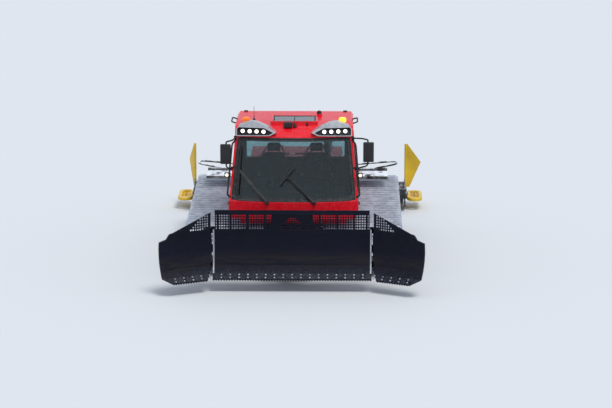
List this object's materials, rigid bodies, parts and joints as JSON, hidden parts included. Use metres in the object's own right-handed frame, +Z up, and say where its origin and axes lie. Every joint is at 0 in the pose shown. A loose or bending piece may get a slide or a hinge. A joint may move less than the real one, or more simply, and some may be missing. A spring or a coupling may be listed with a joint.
{
  "type": "snowcat groomer",
  "caption": "Tracked snow grooming machine with a cab, a front blade with folding wings and a rear tiller on lift frames.",
  "frame": {"origin": "on the ground under the middle of the machine with its blade and tiller", "axes": "+Y towards the tiller at the rear, -Y towards the blade, +Z up"},
  "size_m": [5.34, 8.6276, 3.143],
  "materials": {
    "paint_red": "gloss",
    "paint_dark": "satin",
    "blade_paint": "worn satin",
    "paint_yellow": "satin",
    "crossbar_alloy": "worn",
    "rubber": "matte",
    "piston_chrome": "polished",
    "plastic_black": "matte",
    "lamp_silver": "gloss",
    "beacon_orange": "gloss",
    "pane": "clear",
    "seat_cloth": "woven",
    "tine_steel": "worn"
  },
  "bodies": {
    "chassis": {"chassis_tub": "paint_dark", "axle_arms": "paint_dark", "load_wheels": "rubber", "sprockets": "rubber", "track_left": "crossbar_alloy", "track_right": "crossbar_alloy", "engine_block": "paint_dark", "cab_shell": "paint_red", "cab_roof": "paint_red", "cab_glass": "pane", "headlamp_pods": "lamp_silver", "headlamps": "plastic_black", "beacons": "beacon_orange", "rear_lamps": "plastic_black", "exhaust_stack": "tine_steel", "roof_fittings": "plastic_black", "mirrors": "plastic_black", "wipers": "plastic_black", "grab_rails": "plastic_black", "work_lamps": "plastic_black", "seats": "seat_cloth", "dashboard": "plastic_black", "steering_yoke": "plastic_black", "engine_housing": "paint_red", "load_platform": "paint_dark", "deck_rails": "plastic_black", "fenders": "plastic_black"},
    "door_left_body": {"door_left": "paint_red", "door_glass_left": "pane"},
    "door_right_body": {"door_right": "paint_red", "door_glass_right": "pane"},
    "push_frame_body": {"push_frame": "paint_dark"},
    "swing_knuckle_body": {"swing_knuckle": "paint_dark"},
    "blade_carrier_body": {"blade_carrier": "paint_dark"},
    "blade_body": {"blade_center": "blade_paint", "blade_guard": "blade_paint"},
    "wing_left_body": {"blade_wing_left": "blade_paint"},
    "wing_right_body": {"blade_wing_right": "blade_paint"},
    "lift_barrels_body": {"blade_lift_barrels": "paint_dark"},
    "lift_rods_body": {"blade_lift_rods": "piston_chrome"},
    "swing_rod_left_body": {"swing_rods_left": "piston_chrome"},
    "swing_rod_right_body": {"swing_rods_right": "piston_chrome"},
    "wing_rod_left_body": {"wing_rod_left": "piston_chrome"},
    "wing_rod_right_body": {"wing_rod_right": "piston_chrome"},
    "rear_frame_body": {"rear_lift_frame": "paint_dark"},
    "rear_barrels_body": {"rear_lift_barrels": "paint_dark"},
    "rear_rods_body": {"rear_lift_rods": "piston_chrome"},
    "tiller_swivel_body": {"tiller_swivel": "paint_dark"},
    "tiller_body": {"tiller_housing": "paint_dark", "tiller_comb": "rubber", "tiller_skids": "paint_yellow"},
    "rotor_body": {"tiller_rotor": "tine_steel"},
    "side_plate_left_body": {"side_plate_left": "paint_yellow"},
    "side_plate_right_body": {"side_plate_right": "paint_yellow"}
  },
  "joints": [
    {"name": "door_left_hinge", "type": "hinge", "parent": "chassis", "child": "door_left_body", "pos_m": [1.27607, -1.2262, 1.215], "axis": [-0.0855, 0, 0.9963], "range_deg": [0, 80]},
    {"name": "door_right_hinge", "type": "hinge", "parent": "chassis", "child": "door_right_body", "pos_m": [-1.27607, -1.2262, 1.215], "axis": [-0.0855, 0, -0.9963], "range_deg": [0, 80]},
    {"name": "blade_lift", "type": "hinge", "parent": "chassis", "child": "push_frame_body", "pos_m": [0, -2.6162, 0.56], "axis": [-1, 0, 0], "range_deg": [-16, 30]},
    {"name": "blade_swing", "type": "hinge", "parent": "push_frame_body", "child": "swing_knuckle_body", "pos_m": [0, -3.2862, 0.55], "axis": [0, 0, 1], "range_deg": [-18, 18]},
    {"name": "blade_tilt", "type": "hinge", "parent": "swing_knuckle_body", "child": "blade_carrier_body", "pos_m": [0, -3.4412, 0.55], "axis": [0, 1, 0], "range_deg": [-8, 8]},
    {"name": "blade_pitch", "type": "hinge", "parent": "blade_carrier_body", "child": "blade_body", "pos_m": [0, -3.4962, 0.43], "axis": [1, 0, 0], "range_deg": [-8, 8]},
    {"name": "wing_left_fold", "type": "hinge", "parent": "blade_body", "child": "wing_left_body", "pos_m": [1.5, -3.55658, 0.8], "axis": [0, 0, -1], "range_deg": [-45, 10]},
    {"name": "wing_right_fold", "type": "hinge", "parent": "blade_body", "child": "wing_right_body", "pos_m": [-1.5, -3.55658, 0.8], "axis": [0, 0, -1], "range_deg": [-10, 45]},
    {"name": "lift_barrels_hinge", "type": "hinge", "parent": "chassis", "child": "lift_barrels_body", "pos_m": [0, -2.6062, 0.88], "axis": [1, 0, 0], "range_deg": [-26.68, 14.26]},
    {"name": "lift_rods_slide", "type": "slide", "parent": "lift_barrels_body", "child": "lift_rods_body", "axis": [0, -0.9469, -0.3216], "range_m": [-0.16563, 0.08857]},
    {"name": "swing_rod_left_slide", "type": "slide", "parent": "push_frame_body", "child": "swing_rod_left_body", "axis": [0, 1, 0], "range_m": [-0.10452, 0.10452]},
    {"name": "swing_rod_right_slide", "type": "slide", "parent": "push_frame_body", "child": "swing_rod_right_body", "axis": [0, 1, 0], "range_m": [-0.10452, 0.10452]},
    {"name": "wing_rod_left_slide", "type": "slide", "parent": "blade_body", "child": "wing_rod_left_body", "axis": [1, 0, 0], "range_m": [-0.09663, 0.02186]},
    {"name": "wing_rod_right_slide", "type": "slide", "parent": "blade_body", "child": "wing_rod_right_body", "axis": [-1, 0, 0], "range_m": [-0.09663, 0.02186]},
    {"name": "tiller_lift", "type": "hinge", "parent": "chassis", "child": "rear_frame_body", "pos_m": [0, 2.1038, 0.72], "axis": [1, 0, 0], "range_deg": [-3, 30]},
    {"name": "tiller_swing", "type": "hinge", "parent": "rear_frame_body", "child": "tiller_swivel_body", "pos_m": [0, 2.8538, 0.57], "axis": [0, 0, 1], "range_deg": [-12, 12]},
    {"name": "tiller_roll", "type": "hinge", "parent": "tiller_swivel_body", "child": "tiller_body", "pos_m": [0, 3.0588, 0.57], "axis": [0, 1, 0], "range_deg": [-8, 8]},
    {"name": "tiller_rotor_spin", "type": "hinge", "parent": "tiller_body", "child": "rotor_body", "pos_m": [0, 3.5738, 0.33], "axis": [1, 0, 0], "continuous": true},
    {"name": "side_plate_left_hinge", "type": "hinge", "parent": "tiller_body", "child": "side_plate_left_body", "pos_m": [2.31, 4.0038, 0.8], "axis": [0, 0, 1], "range_deg": [0, 90]},
    {"name": "side_plate_right_hinge", "type": "hinge", "parent": "tiller_body", "child": "side_plate_right_body", "pos_m": [-2.31, 4.0038, 0.8], "axis": [0, 0, -1], "range_deg": [-65, 25]},
    {"name": "rear_barrels_hinge", "type": "hinge", "parent": "chassis", "child": "rear_barrels_body", "pos_m": [0, 2.0638, 0.96], "axis": [1, 0, 0], "range_deg": [-2.58, 25.39]},
    {"name": "rear_rods_slide", "type": "slide", "parent": "rear_barrels_body", "child": "rear_rods_body", "axis": [0, 0.9098, -0.415], "range_m": [-0.11778, 0.01223]}
  ],
  "couplings": [
    {"joint": "lift_barrels_hinge", "follows": "blade_lift", "ratio": -0.8704},
    {"joint": "lift_rods_slide", "follows": "blade_lift", "m_per_rad": -0.3092},
    {"joint": "swing_rod_left_slide", "follows": "blade_swing", "m_per_rad": 0.3246},
    {"joint": "swing_rod_right_slide", "follows": "blade_swing", "m_per_rad": -0.3246},
    {"joint": "wing_rod_left_slide", "follows": "wing_left_fold", "m_per_rad": 0.12},
    {"joint": "wing_rod_right_slide", "follows": "wing_right_fold", "m_per_rad": -0.12},
    {"joint": "rear_barrels_hinge", "follows": "tiller_lift", "ratio": 0.828},
    {"joint": "rear_rods_slide", "follows": "tiller_lift", "m_per_rad": -0.2196}
  ]
}
